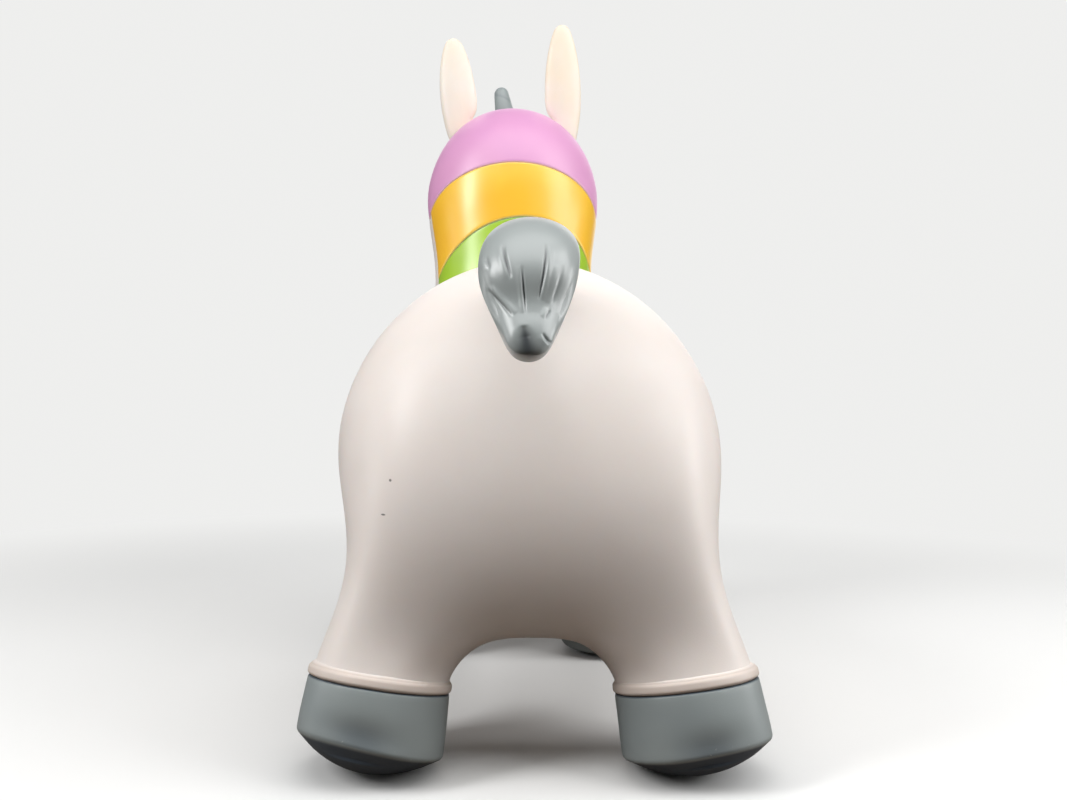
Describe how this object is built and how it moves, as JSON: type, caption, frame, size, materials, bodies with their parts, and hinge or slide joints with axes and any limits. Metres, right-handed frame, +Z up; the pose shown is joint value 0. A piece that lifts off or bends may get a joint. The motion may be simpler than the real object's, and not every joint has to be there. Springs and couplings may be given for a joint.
{
  "type": "inflatable bouncy ride-on animal",
  "caption": "Inflatable ride-on unicorn for bouncing: hollow vinyl body, splayed legs with grey hooves, banded mane, upright ears to hold, short horn and drooping tail.",
  "frame": {"origin": "on the floor, under the middle of the toy's overall box", "axes": "+Z up, +Y towards the nose, +X to the animal's right"},
  "size_m": [0.2914, 0.5719, 0.5937],
  "materials": {
    "skin_white": "satin moulded vinyl, warm white",
    "skin_cream": "satin moulded vinyl, cream",
    "tail_grey": "satin moulded vinyl, bluish grey",
    "horn_grey": "satin moulded vinyl, pale grey",
    "hoof_grey": "satin moulded vinyl, bluish grey, darker on the sole",
    "mane_pink": "satin paint on vinyl, pink",
    "mane_orange": "satin paint on vinyl, orange yellow",
    "mane_green": "satin paint on vinyl, leaf green",
    "eye_dark": "gloss paint, near black",
    "valve_rubber": "soft vinyl, off white"
  },
  "bodies": {
    "torso": {"body_shell": "skin_white", "valve_seat": "valve_rubber"},
    "rear_left_leg_and_hoof": {"rear_left_leg": "skin_white", "rear_left_hoof": "hoof_grey"},
    "rear_right_leg_and_hoof": {"rear_right_leg": "skin_white", "rear_right_hoof": "hoof_grey"},
    "front_left_leg_and_hoof": {"front_left_leg": "skin_white", "front_left_hoof": "hoof_grey"},
    "front_right_leg_and_hoof": {"front_right_leg": "skin_white", "front_right_hoof": "hoof_grey"},
    "neck_and_head": {"neck_shell": "skin_white", "head_shell": "skin_white", "mane_pink": "mane_pink", "mane_orange": "mane_orange", "mane_green": "mane_green", "horn": "horn_grey", "eye_left": "eye_dark", "eye_right": "eye_dark"},
    "left_ear": {"ear_left": "skin_cream"},
    "right_ear": {"ear_right": "skin_cream"},
    "tail_lock": {"tail": "tail_grey"},
    "plug": {"valve_plug": "valve_rubber"}
  },
  "joints": [
    {"name": "rear_left_splay", "type": "hinge", "parent": "torso", "child": "rear_left_leg_and_hoof", "pos_m": [-0.08861, -0.1791, 0.09944], "axis": [0, 1, 0], "range_deg": [-3, 7], "stiffness_Nm_per_rad": 12},
    {"name": "rear_right_splay", "type": "hinge", "parent": "torso", "child": "rear_right_leg_and_hoof", "pos_m": [0.08861, -0.1791, 0.09944], "axis": [0, -1, 0], "range_deg": [-3, 7], "stiffness_Nm_per_rad": 12},
    {"name": "front_left_splay", "type": "hinge", "parent": "torso", "child": "front_left_leg_and_hoof", "pos_m": [-0.07856, 0.07315, 0.09978], "axis": [0, 1, 0], "range_deg": [-3, 7], "stiffness_Nm_per_rad": 12},
    {"name": "front_right_splay", "type": "hinge", "parent": "torso", "child": "front_right_leg_and_hoof", "pos_m": [0.07856, 0.07315, 0.09978], "axis": [0, -1, 0], "range_deg": [-3, 7], "stiffness_Nm_per_rad": 12},
    {"name": "neck_nod", "type": "hinge", "parent": "torso", "child": "neck_and_head", "pos_m": [0, 0.096, 0.3], "axis": [1, 0, 0], "range_deg": [-8, 6], "stiffness_Nm_per_rad": 60},
    {"name": "left_ear_bend", "type": "hinge", "parent": "neck_and_head", "child": "left_ear", "pos_m": [-0.04749, 0.12849, 0.48982], "axis": [1, 0, 0], "range_deg": [-15, 15], "stiffness_Nm_per_rad": 0.6},
    {"name": "right_ear_bend", "type": "hinge", "parent": "neck_and_head", "child": "right_ear", "pos_m": [0.04983, 0.12839, 0.48821], "axis": [1, 0, 0], "range_deg": [-15, 15], "stiffness_Nm_per_rad": 0.6},
    {"name": "tail_lift", "type": "hinge", "parent": "torso", "child": "tail_lock", "pos_m": [0, -0.18252, 0.29468], "axis": [-1, 0, 0], "range_deg": [-4, 22], "stiffness_Nm_per_rad": 2},
    {"name": "valve_pull", "type": "slide", "parent": "torso", "child": "plug", "axis": [0, 0, -1], "range_m": [0, 0.012]}
  ]
}
